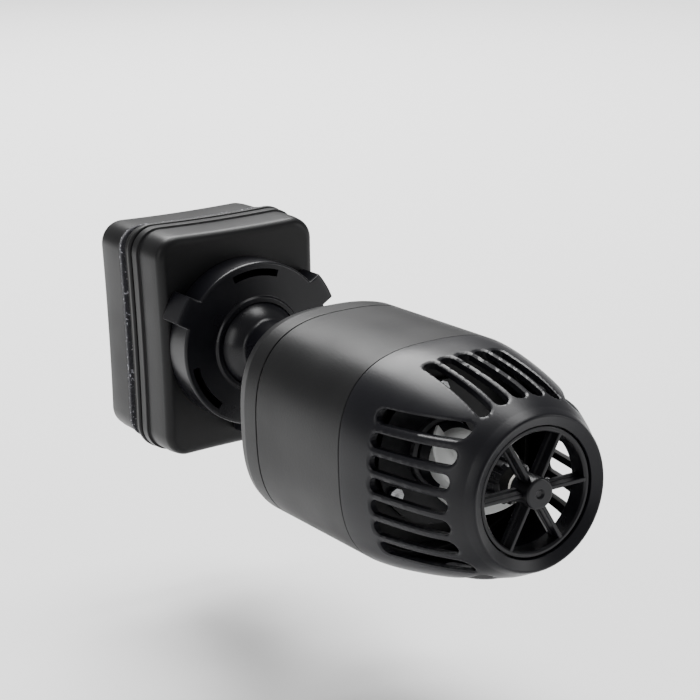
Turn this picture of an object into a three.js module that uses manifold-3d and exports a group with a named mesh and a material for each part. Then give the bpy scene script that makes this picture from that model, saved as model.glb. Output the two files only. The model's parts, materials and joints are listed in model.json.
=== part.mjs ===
import * as THREE from "three";
import { mergeVertices } from "three/addons/utils/BufferGeometryUtils.js";
import Module from "manifold-3d";

const wasm = await Module();
wasm.setup();

// Wave maker pump, in millimetres. Z is up, +Y runs out through the glass and the nose points along -Y.
// The origin is the centre of the wet pad's glass face.

const gap = 0.3; // between pieces that touch
const glassGap = 2.4; // between the two pads
const runClear = 0.08; // between the fixed shaft and what turns on it

// Magnet plates
const plateHalfWide = 24.6;
const plateHalfTall = 31;
const plateCorner = 6.5;
const plateBow = 0.3; // how far the middle of each side is drawn in
const plateWall = 2;
const padThick = 1.8;
const coverThick = 1.9;
const magnetThick = 6;
const postRadius = 2;

// Ball joint
const ballRadius = 12.4;
const cupRadius = ballRadius + 1.4;
const ringRadius = ballRadius + 10.2;
const ringWall = 1.6;
const tabRadius = ringRadius + 3.4;
const neckRadius = ballRadius * 0.63;
const neckLength = 26.5; // from the ball's front to the rear cap

// Head
const headHalfWide = 27.8;
const headHalfTall = 27.2;
const headPower = 2.8; // of the superellipse section
const headDrop = 8.5; // head axis below the ball
const headWall = 2.2;
const capLength = 10.7;
const housingLength = 38;
const cageLength = 39.8;
const cageWall = 1.7;
const mouthRadius = 17.95;
const ringSeatRadius = 15.5;
const throatRadius = 13.9;

// Slots of the cage
const slotHeight = 3.5;
const slotLength = 23.2;
const slotStart = 10.2; // from the cage's back edge
const sidePitch = 5.25;
const topPitch = 4.8;

// Motor and propeller
const canRadius = 9.3;
const canWall = 1;
const shaftRadius = 1.5;
const hubRadius = 4.9;
const sleeveRadius = hubRadius + 2.3;
const bladeRadius = 12.5;
const bladeCount = 3;
const bladeTurn = 1.25; // radians of twist along a blade
const boreRadius = shaftRadius + runClear;

// Stations along Y
const coverBack = -(padThick + gap);
const coverFront = coverBack - coverThick;
const holderBack = coverFront - gap;
const magnetFront = holderBack - magnetThick;
const floorBack = magnetFront - gap;
const floorFront = floorBack - 1;
const ballY = floorFront - ballRadius - 0.2;
const holderFront = ballY + 5.4;
const bossFront = ballY - 0.2;
const ringBack = holderFront - gap;
const ringInner = ballY - 1.8;
const ringFront = ballY - 4;
const capBack = ballY - ballRadius - neckLength;
const seamOne = capBack - capLength;
const seamTwo = seamOne - housingLength;
const noseEnd = seamTwo - cageLength;
const bulkheadFront = seamTwo + gap / 2;
const bulkheadBack = bulkheadFront + headWall;

// Surfaces, cutting and joining

// Puts the faces outward by the sign of the volume, sum of a . (b x c) / 6 over the triangles.
function facingOut(geometry) {
  const flat = geometry.index ? geometry : mergeVertices(geometry, 1e-4);
  const p = flat.attributes.position;
  const index = flat.index.array;
  const [a, b, c] = [new THREE.Vector3(), new THREE.Vector3(), new THREE.Vector3()];
  let volume = 0;
  for (let i = 0; i < index.length; i += 3) {
    a.fromBufferAttribute(p, index[i]);
    b.fromBufferAttribute(p, index[i + 1]);
    c.fromBufferAttribute(p, index[i + 2]);
    volume += a.dot(b.cross(c)) / 6;
  }
  if (volume < 0) {
    for (let i = 0; i < index.length; i += 3) {
      [index[i + 1], index[i + 2]] = [index[i + 2], index[i + 1]];
    }
  }
  return flat;
}

function solid(geometry) {
  const bare = geometry.clone();
  bare.deleteAttribute("normal");
  bare.deleteAttribute("uv");
  const merged = facingOut(mergeVertices(bare, 1e-4));
  return new wasm.Manifold(
    new wasm.Mesh({
      numProp: 3,
      vertProperties: merged.attributes.position.array,
      triVerts: new Uint32Array(merged.index.array),
    }),
  );
}

function surface(body) {
  const mesh = body.getMesh();
  const geometry = new THREE.BufferGeometry();
  geometry.setAttribute("position", new THREE.BufferAttribute(mesh.vertProperties, 3));
  geometry.setIndex(new THREE.BufferAttribute(mesh.triVerts, 1));
  return geometry;
}

function cut(body, ...tools) {
  let left = solid(body);
  for (const tool of tools) left = left.subtract(solid(tool));
  return surface(left);
}

function join(body, ...others) {
  let sum = solid(body);
  for (const other of others) sum = sum.add(solid(other));
  return surface(sum);
}

// Outline of a plate seen along Y: arcs at the corners, sides drawn in by bow * (1 - s^2).
function plateOutline(halfWide, halfTall, corner, bow = plateBow) {
  const points = [];
  const steps = 4;
  const sides = [
    [1, 1, 0],
    [-1, 1, 1],
    [-1, -1, 2],
    [1, -1, 3],
  ];
  for (const [sx, sz, quarter] of sides) {
    for (let i = 0; i <= steps; i += 1) {
      const angle = ((quarter + i / steps) * Math.PI) / 2;
      points.push([
        sx * (halfWide - corner) + corner * Math.cos(angle),
        sz * (halfTall - corner) + corner * Math.sin(angle),
      ]);
    }
    for (const s of [-0.5, 0, 0.5]) {
      const inward = bow * (1 - s * s);
      const along = quarter % 2 === 0 ? halfWide - corner : halfTall - corner;
      if (quarter === 0) points.push([-s * along, halfTall - inward]);
      if (quarter === 1) points.push([-halfWide + inward, -s * along]);
      if (quarter === 2) points.push([s * along, -halfTall + inward]);
      if (quarter === 3) points.push([halfWide - inward, s * along]);
    }
  }
  return points;
}

// Superellipse seen along Y: x = a |cos t|^(2/n), z = b |sin t|^(2/n), with the signs of cos and sin.
function headOutline(halfWide, halfTall, power, count = 40) {
  const points = [];
  for (let i = 0; i < count; i += 1) {
    const t = ((i + 0.5) / count) * 2 * Math.PI;
    const c = Math.cos(t);
    const s = Math.sin(t);
    points.push([
      Math.sign(c) * halfWide * Math.abs(c) ** (2 / power),
      Math.sign(s) * halfTall * Math.abs(s) ** (2 / power),
    ]);
  }
  return points;
}

// Skins rings of equal counts. The ends are closed flat, or the last ring joins the first.
function loft(rings, loop = false) {
  const count = rings[0].outline.length;
  const positions = [];
  const index = [];
  for (const { y, outline } of rings) {
    for (const [x, z] of outline) positions.push(x, y, z);
  }
  const bands = loop ? rings.length : rings.length - 1;
  for (let k = 0; k < bands; k += 1) {
    const here = k * count;
    const next = ((k + 1) % rings.length) * count;
    for (let i = 0; i < count; i += 1) {
      const j = (i + 1) % count;
      index.push(here + i, next + i, next + j, here + i, next + j, here + j);
    }
  }
  if (!loop) {
    const last = (rings.length - 1) * count;
    const middle = positions.length / 3;
    positions.push(0, rings[0].y, 0, 0, rings.at(-1).y, 0);
    for (let i = 0; i < count; i += 1) {
      const j = (i + 1) % count;
      index.push(middle, i, j, middle + 1, last + j, last + i);
    }
  }
  const geometry = new THREE.BufferGeometry();
  geometry.setAttribute("position", new THREE.Float32BufferAttribute(positions, 3));
  geometry.setIndex(index);
  return facingOut(geometry);
}

// A plate from [y, inset] pairs; the inset narrows both half sizes and the corner.
function plate(halfWide, halfTall, rows) {
  return loft(
    rows.map(([y, inset]) => ({
      y,
      outline: plateOutline(halfWide - inset, halfTall - inset, Math.max(plateCorner - inset, 1)),
    })),
  );
}

// A head body from [y, inset] pairs on the head's full section.
function headRings(rows) {
  return rows.map(([y, inset]) => ({
    y,
    outline: headOutline(headHalfWide - inset, headHalfTall - inset, headPower),
  }));
}

// Turned about Y from [radius, y] pairs.
function turned(profile, segments = 28) {
  const points = profile.map(([r, y]) => new THREE.Vector2(Math.max(r, 0), y));
  const geometry = new THREE.LatheGeometry(points, segments);
  geometry.deleteAttribute("normal");
  geometry.deleteAttribute("uv");
  return facingOut(mergeVertices(geometry, 1e-4));
}

function rod(radius, yOne, yTwo, segments = 20) {
  return turned(
    [
      [0, yOne],
      [radius, yOne],
      [radius, yTwo],
      [0, yTwo],
    ],
    segments,
  );
}

function tube(inner, outer, yOne, yTwo, segments = 28) {
  return turned(
    [
      [inner, yOne],
      [outer, yOne],
      [outer, yTwo],
      [inner, yTwo],
      [inner, yOne],
    ],
    segments,
  );
}

function moved(geometry, x, y, z) {
  return geometry.clone().translate(x, y, z);
}

function turnedBy(geometry, angle) {
  return geometry.clone().rotateY(-angle);
}

// A straight prism along Y from an [x, z] outline.
function prism(outline, yOne, yTwo) {
  const shape = new THREE.Shape(outline.map(([x, z]) => new THREE.Vector2(x, z)));
  const geometry = new THREE.ExtrudeGeometry(shape, { depth: yTwo - yOne, bevelEnabled: false });
  geometry.deleteAttribute("normal");
  geometry.deleteAttribute("uv");
  geometry.rotateX(Math.PI / 2);
  geometry.translate(0, yTwo, 0);
  return facingOut(mergeVertices(geometry, 1e-4));
}

function box(xOne, xTwo, yOne, yTwo, zOne, zTwo) {
  return prism(
    [
      [xOne, zOne],
      [xTwo, zOne],
      [xTwo, zTwo],
      [xOne, zTwo],
    ],
    yOne,
    yTwo,
  );
}

// Lays a prism's run along +X; its outline's first or second axis goes along Y.
function alongX(geometry, outlineAxisToY) {
  const laid = geometry.clone();
  const p = laid.attributes.position;
  for (let k = 0; k < p.count; k += 1) {
    const [x, y, z] = [p.getX(k), p.getY(k), p.getZ(k)];
    if (outlineAxisToY === "x") p.setXYZ(k, y, x, z);
    else p.setXYZ(k, y, z, x);
  }
  return facingOut(laid);
}

// A block between two radii, centred on an angle from +X towards +Z.
function sector(inner, outer, yOne, yTwo, angle, half, steps = 5) {
  const outline = [];
  for (let i = 0; i <= steps; i += 1) {
    const a = angle - half + (2 * half * i) / steps;
    outline.push([outer * Math.cos(a), outer * Math.sin(a)]);
  }
  for (let i = steps; i >= 0; i -= 1) {
    const a = angle - half + (2 * half * i) / steps;
    outline.push([inner * Math.cos(a), inner * Math.sin(a)]);
  }
  return prism(outline, yOne, yTwo);
}

// Points on a circle about (0, ballY), the angle measured from -Y.
function arc(radius, from, to, steps) {
  const points = [];
  for (let i = 0; i <= steps; i += 1) {
    const a = THREE.MathUtils.degToRad(from + ((to - from) * i) / steps);
    points.push([radius * Math.sin(a), ballY - radius * Math.cos(a)]);
  }
  return points;
}

const degrees = THREE.MathUtils.degToRad;
const lockAngles = [90, 210, 330].map(degrees);
const tabAngles = [30, 150, 270].map(degrees);

// Materials
const finishes = {
  satinBlack: [0x26272a, 0.55, 0],
  cageBlack: [0x1f2024, 0.45, 0],
  glossBlack: [0x17181c, 0.3, 0],
  rubberBlack: [0x1c1c1c, 0.85, 0],
  felt: [0x232327, 0.95, 0],
  white: [0xe6e7e6, 0.4, 0],
  ferrite: [0x3a3a3d, 0.6, 0.2],
  steel: [0xb9bcc0, 0.35, 1],
  lamination: [0x74777b, 0.45, 0.9],
  copper: [0xb0643a, 0.35, 0.9],
  ceramic: [0xe9e6dc, 0.25, 0],
};

const pump = new THREE.Group();
pump.name = "wave_maker_pump";
const head = new THREE.Group();
head.name = "head";
head.position.set(0, 0, -headDrop);
pump.add(head);

function add(group, name, geometry, finish) {
  const [color, roughness, metalness] = finishes[finish];
  const flat = geometry.clone();
  flat.computeVertexNormals();
  const mesh = new THREE.Mesh(
    flat,
    new THREE.MeshStandardMaterial({ color, roughness, metalness, flatShading: true }),
  );
  mesh.name = name;
  group.add(mesh);
}

// Magnet halves: a shell, its cover, a block magnet and four screws
const shellHalfWide = plateHalfWide - plateWall;
const shellHalfTall = plateHalfTall - plateWall;
const screwHead = 1.8;
const screwShank = 0.8;
const postX = shellHalfWide - plateBow - screwHead - 3 * gap;
const postZ = shellHalfTall - 0.6 - plateBow - screwHead - 3 * gap;
const magnetHalfWide = postX - postRadius - gap;
const magnetHalfTall = postZ - postRadius - gap;
const postSpots = [
  [postX, 0],
  [-postX, 0],
  [0, postZ],
  [0, -postZ],
];

function magnetBlock(yOne, yTwo) {
  const bevel = 1.2;
  const a = magnetHalfWide;
  const b = magnetHalfTall;
  const outline = [
    [a, -b + bevel],
    [a, b - bevel],
    [a - bevel, b],
    [-a + bevel, b],
    [-a, b - bevel],
    [-a, -b + bevel],
    [-a + bevel, -b],
    [a - bevel, -b],
  ];
  return prism(outline, yOne, yTwo);
}

// A screw along Y: head at yHead, shank towards yTip.
function screw(yHead, yTip, headRadius = screwHead, shankRadius = screwShank) {
  const way = Math.sign(yTip - yHead);
  const under = yHead + way * 0.9;
  return turned(
    [
      [0, yHead + way * 0.4],
      [headRadius * 0.35, yHead],
      [headRadius, yHead],
      [headRadius, under],
      [shankRadius, under],
      [shankRadius, yTip - way * 0.6],
      [0, yTip],
    ],
    8,
  );
}

// Holes for the four cover screws: counterbore from the outer face, then clearance.
function screwHoles(yOuter, yFloor, yInner) {
  return postSpots.flatMap(([x, z]) => [
    moved(rod(screwHead + gap, yOuter, yFloor, 10), x, 0, z),
    moved(rod(screwShank + gap, yOuter, yInner, 8), x, 0, z),
  ]);
}

function posts(yOne, yTwo) {
  return postSpots.map(([x, z]) => moved(rod(postRadius, yOne, yTwo, 10), x, 0, z));
}

function postBores(yOne, yTwo) {
  return postSpots.map(([x, z]) => moved(rod(screwShank + gap, yOne, yTwo, 8), x, 0, z));
}

// Dry half, outside the glass
const feltFace = glassGap;
const feltBack = feltFace + 1.6;
const dryFront = feltBack + gap;
const dryCoverBack = dryFront + coverThick;
const dryMagnetBack = dryCoverBack + gap + magnetThick;
const dryPocketEnd = dryMagnetBack + gap + 2.4;
const dryEnd = dryPocketEnd + plateWall + 0.2;
const dryHalfTall = plateHalfTall - 0.6;

add(
  pump,
  "dry_felt_pad",
  plate(plateHalfWide + 0.3, dryHalfTall + 0.3, [
    [feltFace, 0.25],
    [feltFace + 0.3, 0],
    [feltBack, 0],
  ]),
  "felt",
);

const dryShell = plate(plateHalfWide, dryHalfTall, [
  [dryFront, 0.2],
  [dryFront + 0.6, 0],
  [dryEnd - 3.4, 0],
  [dryEnd - 1.7, 0.5],
  [dryEnd - 0.6, 1.5],
  [dryEnd, 3.1],
]);
const dryPocket = plate(shellHalfWide, dryHalfTall - plateWall, [
  [dryFront - 1, 0],
  [dryPocketEnd, 0],
]);
add(
  pump,
  "dry_housing",
  cut(
    join(cut(dryShell, dryPocket), ...posts(dryCoverBack + gap, dryPocketEnd + 0.5)),
    ...postBores(dryCoverBack, dryMagnetBack),
  ),
  "satinBlack",
);
add(
  pump,
  "dry_cover",
  cut(
    plate(shellHalfWide - gap, dryHalfTall - plateWall - gap, [
      [dryFront, 0],
      [dryCoverBack, 0],
    ]),
    ...screwHoles(dryFront - 1, dryFront + 1.5, dryCoverBack + 1),
  ),
  "satinBlack",
);
add(pump, "dry_magnet", magnetBlock(dryCoverBack + gap, dryMagnetBack), "ferrite");
postSpots.forEach(([x, z], i) => {
  const one = moved(screw(dryFront + 0.3, dryMagnetBack - 0.8), x, 0, z);
  add(pump, `dry_screw_${i + 1}`, one, "steel");
});

// Wet half, inside the tank
const padEdge = 0.3;
add(
  pump,
  "wet_rubber_pad",
  plate(plateHalfWide + padEdge, plateHalfTall + padEdge, [
    [-padThick, 0],
    [-0.4, 0],
    [0, 0.4],
  ]),
  "rubberBlack",
);
add(
  pump,
  "wet_cover",
  cut(
    plate(plateHalfWide + 1, plateHalfTall + 1, [
      [coverBack, 0.6],
      [coverBack - 0.4, 0],
      [coverFront + 0.5, 0],
      [coverFront, 0.6],
    ]),
    ...screwHoles(coverBack + 1, coverBack - 1.5, coverFront - 1),
  ),
  "satinBlack",
);
add(pump, "wet_magnet", magnetBlock(magnetFront, holderBack), "ferrite");
postSpots.forEach(([x, z], i) => {
  const one = moved(screw(coverBack - 0.3, magnetFront + 0.8), x, 0, z);
  add(pump, `wet_screw_${i + 1}`, one, "steel");
});

const holderShell = plate(plateHalfWide + 0.6, plateHalfTall + 0.7, [
  [holderBack, 0.6],
  [holderBack - 0.5, 0],
  [holderBack - 2.8, 0],
  [holderBack - 3.5, 0.6],
  [holderFront + 3.1, 0.65],
  [holderFront + 1.4, 1],
  [holderFront + 0.4, 1.6],
  [holderFront, 2.4],
]);
const holderPocket = plate(shellHalfWide, shellHalfTall, [
  [holderBack + 1, 0],
  [holderFront + plateWall, 0],
]);
const bossRadius = ballRadius + 5.6;
const cup = turned([
  [0, floorBack],
  [cupRadius + 1.8, floorBack],
  [cupRadius + 1.8, holderFront + 0.8],
  [bossRadius, holderFront + 0.8],
  [bossRadius, bossFront],
  ...arc(cupRadius, 90 - 0.8, 156, 5).map(([r, y]) => [r, Math.min(y, floorFront)]),
  [0, floorFront],
]);
const lugRadius = ringRadius - ringWall - 0.4;
const holderLugs = lockAngles.map((a) =>
  sector(bossRadius - 0.5, lugRadius, ballY + 0.6, ballY + 2.2, a, degrees(18)),
);
add(
  pump,
  "wet_holder",
  cut(
    join(
      cut(holderShell, holderPocket, rod(cupRadius + 1.5, holderFront + 3, holderFront - 1, 28)),
      cup,
      ...holderLugs,
      ...posts(holderBack, holderFront + plateWall - 0.5),
    ),
    ...postBores(holderBack + 1, magnetFront),
  ),
  "satinBlack",
);

// Twist-lock ring
const ringBody = turned(
  [
    [ringRadius - ringWall, ringBack],
    [ringRadius - 0.3, ringBack],
    [ringRadius, ringBack - 0.3],
    [ringRadius, ringFront + 1],
    [ringRadius - 0.4, ringFront + 0.25],
    [ringRadius - 1.2, ringFront],
    [ballRadius + 1, ringFront],
    [ballRadius + 0.6, ringFront - 0.5],
    [ballRadius, ringFront - 0.75],
    ...arc(ballRadius + gap, 68, 81.8, 2),
    [ringRadius - ringWall, ringInner],
    [ringRadius - ringWall, ringBack],
  ],
  40,
);
const grips = tabAngles.map((a) => {
  const outline = [];
  for (const [r, t] of [
    [ringRadius - 0.8, -10],
    [tabRadius - 0.8, -9.4],
    [tabRadius, -7.4],
    [tabRadius + 0.1, 0],
    [tabRadius, 7.4],
    [tabRadius - 0.8, 9.4],
    [ringRadius - 0.8, 10],
  ]) {
    outline.push([r * Math.cos(a + degrees(t)), r * Math.sin(a + degrees(t))]);
  }
  return prism(outline, ringFront + 0.1, ringBack);
});
const ringLugs = lockAngles.map((a) =>
  sector(bossRadius + 0.4, ringRadius - 0.8, ballY + 2.6, ballY + 4.2, a, degrees(18)),
);
const ringWindows = lockAngles.map((a) =>
  sector(ringRadius - 3.7, ringRadius - 1.75, ringFront - 1, ringInner + 0.6, a, degrees(20), 4),
);
add(
  pump,
  "clamp_ring",
  join(cut(join(ringBody, ...grips), ...ringWindows), ...ringLugs),
  "glossBlack",
);
add(
  pump,
  "seat_washer",
  tube(ballRadius + gap, bossRadius - 0.6, ringInner + gap, bossFront - gap),
  "rubberBlack",
);
add(
  pump,
  "socket_liner",
  turned([
    ...arc(ballRadius + gap, 108, 136, 3),
    ...arc(cupRadius - gap, 136, 108, 3),
    arc(ballRadius + gap, 108, 108, 1)[0],
  ]),
  "white",
);

// Ball and neck
const stemEnd = capBack + gap;
const stemHole = 1.4;
const ballRear = ballY + ballRadius * 0.906;
const neckTop = Math.asin(neckRadius / ballRadius) * THREE.MathUtils.RAD2DEG;
const ballArc = arc(ballRadius, 155, neckTop, 9);
const neckStart = ballArc.at(-1)[1];
const neckSpan = neckStart - stemEnd;
const flare = [];
for (let i = 1; i <= 6; i += 1) {
  // r = r0 - dip sin(pi u) + rise u^3
  const u = i / 6;
  const radius = neckRadius - 0.5 * Math.sin(Math.PI * u) + neckRadius * 0.5 * u ** 3;
  flare.push([radius, neckStart - neckSpan * u]);
}
const spigotRadius = 5;
const spigotEnd = capBack - headWall - 1.2;
add(
  pump,
  "ball_stem",
  cut(
    turned([
      [0, ballRear],
      ...ballArc,
      ...flare,
      [spigotRadius, stemEnd],
      [spigotRadius, spigotEnd],
      [0, spigotEnd],
    ]),
    rod(stemHole, spigotEnd - 1, spigotEnd + 13, 16),
  ),
  "glossBlack",
);
const washerFront = spigotEnd - gap - 0.8;
add(pump, "stem_washer", tube(stemHole, 7, washerFront, spigotEnd - gap, 20), "steel");
add(pump, "stem_screw", screw(washerFront - gap - 0.9, spigotEnd + 12, 3.4, stemHole - gap), "steel");

// Rear cap with its spigot, groove and seal
const spigotInset = headWall + gap;
const grooveInset = spigotInset + 1.8;
const capInnerInset = grooveInset + 0.9;
const spigotTip = seamOne - 4.6;
const capFront = seamOne + gap / 2;
const capShell = loft(
  headRings([
    [capBack, 4.2],
    [capBack - 0.7, 2.2],
    [capBack - 1.9, 0.8],
    [capBack - 3.6, 0.1],
    [capBack - 5.2, 0],
    [capFront, 0],
    [capFront, spigotInset],
    [seamOne - 1.1, spigotInset],
    [seamOne - 1.1, grooveInset],
    [seamOne - 3.1, grooveInset],
    [seamOne - 3.1, spigotInset],
    [spigotTip, spigotInset],
    [spigotTip, capInnerInset],
    [capBack - headWall, capInnerInset],
  ]),
);
const glandZ = -12;
const glandRadius = 4.2;
const glandSpigot = 3;
add(
  head,
  "rear_cap",
  cut(
    capShell,
    moved(rod(spigotRadius + gap, capBack + 2, capBack - headWall - 3, 24), 0, 0, headDrop),
    moved(rod(glandSpigot + gap, capBack + 2, capBack - headWall - 3, 20), 0, 0, glandZ),
  ),
  "satinBlack",
);
add(
  head,
  "cap_seal",
  loft(
    headRings([
      [seamOne - 1.4, spigotInset],
      [seamOne - 2.8, spigotInset],
      [seamOne - 2.8, grooveInset - gap],
      [seamOne - 1.4, grooveInset - gap],
    ]),
    true,
  ),
  "rubberBlack",
);
add(
  head,
  "cable_gland",
  moved(
    turned(
      [
        [1.7, stemEnd + 6],
        [glandRadius - 1.2, stemEnd + 6],
        [glandRadius - 0.6, stemEnd + 5],
        [glandRadius - 0.4, stemEnd + 2.2],
        [glandRadius, stemEnd + 1.8],
        [glandRadius, stemEnd],
        [glandSpigot, stemEnd],
        [glandSpigot, capBack - headWall - 1.2],
        [1.7, capBack - headWall - 1.2],
        [1.7, stemEnd + 6],
      ],
      20,
    ),
    0,
    0,
    glandZ,
  ),
  "rubberBlack",
);

// Motor housing: open at the back, with a bulkhead and a spigot for the cage at the front
const canOuter = canRadius + canWall;
const flangeRadius = canOuter + 7.6;
const canScrewRadius = canOuter + 5.6;
const canScrewAngles = [90, 210, 330].map(degrees);
const sealInner = canOuter + 1.3;
const sealOuter = canOuter + 3.5;
const cageSpigot = cageWall + gap + 0.5;
const housingShell = loft(
  headRings([
    [bulkheadBack, headWall],
    [seamOne - gap / 2, headWall],
    [seamOne - gap / 2, 0],
    [bulkheadFront, 0],
    [bulkheadFront, cageSpigot],
    [bulkheadFront - 4, cageSpigot + 0.3],
    [bulkheadFront - 4, cageSpigot + 1.8],
    [bulkheadFront, cageSpigot + 1.8],
  ]),
);
function atCanScrews(geometry) {
  return canScrewAngles.map((a) =>
    moved(geometry, canScrewRadius * Math.cos(a), 0, canScrewRadius * Math.sin(a)),
  );
}
add(
  head,
  "motor_housing",
  cut(
    housingShell,
    rod(canOuter + gap, bulkheadBack + 1, bulkheadFront - 1, 28),
    tube(sealInner, sealOuter, bulkheadFront + 1.4, bulkheadFront - 1),
    ...atCanScrews(rod(1.25, bulkheadBack + 1, bulkheadFront - 1, 12)),
  ),
  "satinBlack",
);

// Rotor can, its flange, seal and screws
const canEnd = bulkheadFront + 31.5;
const flangeBack = bulkheadFront - gap;
const flangeFront = flangeBack - 1.6;
add(
  head,
  "rotor_can",
  cut(
    turned([
      [0, canEnd],
      [canOuter - 0.8, canEnd],
      [canOuter, canEnd - 0.8],
      [canOuter, flangeBack],
      [flangeRadius, flangeBack],
      [flangeRadius, flangeFront],
      [canRadius, flangeFront],
      [canRadius, canEnd - canWall - 0.3],
      [0, canEnd - canWall - 0.3],
    ]),
    ...atCanScrews(rod(1.25, flangeBack + 1, flangeFront - 1, 12)),
  ),
  "glossBlack",
);
add(
  head,
  "can_seal",
  tube(sealInner + gap, sealOuter - gap, bulkheadFront + 1.1, bulkheadFront),
  "rubberBlack",
);
atCanScrews(screw(flangeFront - gap - 0.9, bulkheadBack + 0.6, 2, 0.95)).forEach((one, i) => {
  add(head, `can_screw_${i + 1}`, one, "steel");
});

// Stator: a laminated ring with four poles, and a coil round each
const coreHalf = Math.min(headHalfWide, headHalfTall) - headWall - 1.2;
const coreInner = coreHalf - 3.6;
const poleWidth = 6;
const poleInner = canOuter + gap + 0.1;
const coreBack = bulkheadBack + 22;
const coreFront = bulkheadBack + 5.2;
const coilWall = 2.6;
const coilInner = poleInner + 2.2;
const poles = [];
for (let i = 0; i < 4; i += 1) {
  const a = degrees(45 + 90 * i);
  const stem = box(poleInner + 0.6, coreInner + 1, coreFront, coreBack, -poleWidth / 2, poleWidth / 2);
  poles.push(turnedBy(stem, a));
  poles.push(sector(poleInner, poleInner + 1.7, coreFront, coreBack, a, degrees(32), 4));
  const outer = poleWidth / 2 + gap + coilWall;
  const inner = poleWidth / 2 + gap;
  const coilEnd = Math.sqrt((coreInner - 0.5) ** 2 - outer ** 2);
  const winding = cut(
    box(coilInner, coilEnd, coreFront - gap - coilWall, coreBack + gap + coilWall, -outer, outer),
    box(coilInner - 1, coreInner, coreFront - gap, coreBack + gap, -inner, inner),
  );
  add(head, `coil_${i + 1}`, turnedBy(winding, a), "copper");
}
add(
  head,
  "stator_core",
  join(tube(coreInner, coreHalf, coreFront, coreBack, 28), ...poles),
  "lamination",
);

// Shaft and its bushes
const rearBushBack = canEnd - canWall - 0.3 - gap;
const rearBushFront = rearBushBack - 2.4;
const bossTip = noseEnd + 0.2;
const bossRear = bossTip + 6.4;
const pocketEnd = bossTip + 2;
const bossOuter = 3.7;
const pocketRadius = 2.9;
const frontBushFront = pocketEnd + gap;
add(
  head,
  "shaft",
  rod(shaftRadius, rearBushBack - 0.5, frontBushFront + 0.6, 24),
  "ceramic",
);
add(
  head,
  "rear_bush",
  cut(
    rod(shaftRadius + 2, rearBushFront, rearBushBack, 24),
    rod(shaftRadius + gap, rearBushFront - 1, rearBushBack - 0.2, 24),
  ),
  "rubberBlack",
);
add(
  head,
  "front_bush",
  cut(
    rod(pocketRadius - gap, frontBushFront, bossRear, 24),
    rod(shaftRadius + gap, frontBushFront + 0.3, bossRear + 1, 24),
  ),
  "rubberBlack",
);

// Rotor: magnet on the hub's tail, shoulder, journal for the propeller and ribbed front
const rotorBack = rearBushFront - gap;
const shoulderBack = bulkheadFront - 3.4;
const shoulderFront = shoulderBack - 3;
const propellerBack = shoulderFront - gap;
const propellerLength = 17;
const propellerFront = propellerBack - propellerLength;
const hubNose = propellerFront - gap;
const hubEnd = hubNose - 6.4;
const tailRadius = boreRadius + 1.3;
add(
  head,
  "rotor_magnet",
  cut(
    turned(
      [
        [0, rotorBack - 0.8],
        [canRadius - 1.4, rotorBack - 0.8],
        [canRadius - 0.7, rotorBack - 1.5],
        [canRadius - 0.7, shoulderBack + gap + 0.7],
        [canRadius - 1.4, shoulderBack + gap],
        [0, shoulderBack + gap],
      ],
      32,
    ),
    rod(tailRadius + gap, rotorBack + 1, shoulderBack - 1, 24),
  ),
  "ferrite",
);
const dogHalf = degrees(15);
const hubRibs = [];
for (let i = 0; i < 12; i += 1) {
  const a = (i / 12) * 2 * Math.PI;
  hubRibs.push(sector(hubRadius - 1, hubRadius + 0.55, hubEnd + 0.3, hubNose, a, degrees(5), 1));
}
const dogBack = propellerBack - 2;
const dogFront = dogBack - 3.2;
add(
  head,
  "drive_hub",
  cut(
    join(
      turned([
        [0, rotorBack],
        [tailRadius, rotorBack],
        [tailRadius, shoulderBack],
        [canRadius - 1, shoulderBack],
        [canRadius - 1, shoulderBack - 1],
        [hubRadius + 1.6, shoulderFront],
        [hubRadius, shoulderFront],
        [hubRadius, hubEnd + 0.8],
        [hubRadius - 0.8, hubEnd],
        [0, hubEnd],
      ]),
      sector(hubRadius - 0.5, hubRadius + 1.1, dogFront, dogBack, degrees(90), dogHalf, 3),
      ...hubRibs,
    ),
    rod(boreRadius, rotorBack + 1, hubEnd - 1, 24),
  ),
  "glossBlack",
);
add(
  head,
  "thrust_washer",
  tube(shaftRadius + gap, 3.3, bossRear + gap, bossRear + gap + 0.8, 20),
  "ceramic",
);

// Propeller: sleeve with a recess that lets it lag the hub's dog, and screw blades
const lagAngle = 150;
const recessHalf = degrees(lagAngle / 2) + dogHalf + degrees(2);
const recessMiddle = degrees(90) - recessHalf + dogHalf + degrees(2);
const blades = [];
for (let b = 0; b < bladeCount; b += 1) {
  const rings = [];
  for (let k = 0; k <= 5; k += 1) {
    const u = k / 5;
    const turn = (b / bladeCount) * 2 * Math.PI + bladeTurn * u;
    // tip radius follows r = R (0.8 + 0.2 sin(pi u))
    const tip = bladeRadius * (0.82 + 0.18 * Math.sin(Math.PI * u));
    const outline = [];
    for (const [r, side] of [
      [sleeveRadius - 0.6, -1],
      [(sleeveRadius + tip) / 2, -1],
      [tip, -0.6],
      [tip, 0.6],
      [(sleeveRadius + tip) / 2, 1],
      [sleeveRadius - 0.6, 1],
    ]) {
      const a = turn + (side * 0.9) / r;
      outline.push([r * Math.cos(a), r * Math.sin(a)]);
    }
    rings.push({ y: propellerBack - 0.6 - u * (propellerLength - 1.2), outline });
  }
  blades.push(bladeLoft(rings));
}

// As loft, with the ends closed across the blade's own outline.
function bladeLoft(rings) {
  const geometry = loft(rings, false);
  const p = geometry.attributes.position;
  const ends = [rings[0], rings.at(-1)];
  ends.forEach(({ y, outline }, i) => {
    const x = outline.reduce((sum, point) => sum + point[0], 0) / outline.length;
    const z = outline.reduce((sum, point) => sum + point[1], 0) / outline.length;
    p.setXYZ(p.count - 2 + i, x, y, z);
  });
  return facingOut(geometry);
}

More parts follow.
